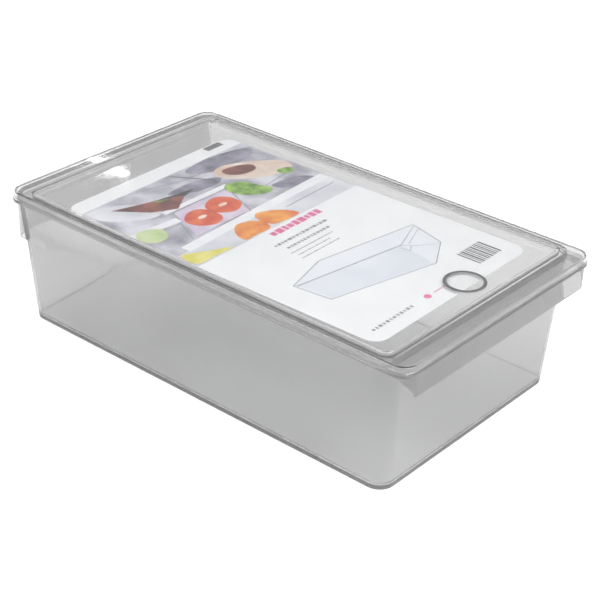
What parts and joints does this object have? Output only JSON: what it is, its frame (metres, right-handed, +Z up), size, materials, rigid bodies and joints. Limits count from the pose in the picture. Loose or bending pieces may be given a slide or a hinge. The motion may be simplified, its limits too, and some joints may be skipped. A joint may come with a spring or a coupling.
{
  "type": "fridge bin",
  "caption": "Clear tapered fridge bin with a down-turned pull grip at one end and a lift-off lid with a raised rim, a printed card under it and a round seal on top.",
  "frame": {"origin": "centre of the bounding box's bottom face, on the surface the bin stands on", "axes": "+X towards the end with the pull grip, +Z up, Y across the width"},
  "size_m": [0.372, 0.214, 0.1072],
  "materials": {
    "clear_bin": "clear injection-moulded styrene, polished",
    "clear_lid": "clear injection-moulded styrene, polished",
    "printed_card": "coated card, satin, printed on the upper face",
    "seal_film": "clear film with a grey ring near its edge"
  },
  "bodies": {
    "bin_body": {"bin": "clear_bin"},
    "lid_body": {"lid": "clear_lid", "insert_card": "printed_card", "round_seal": "seal_film"}
  },
  "joints": [
    {"name": "lid_lift", "type": "slide", "parent": "bin_body", "child": "lid_body", "axis": [0, 0, 1], "range_m": [0, 0.12]}
  ]
}
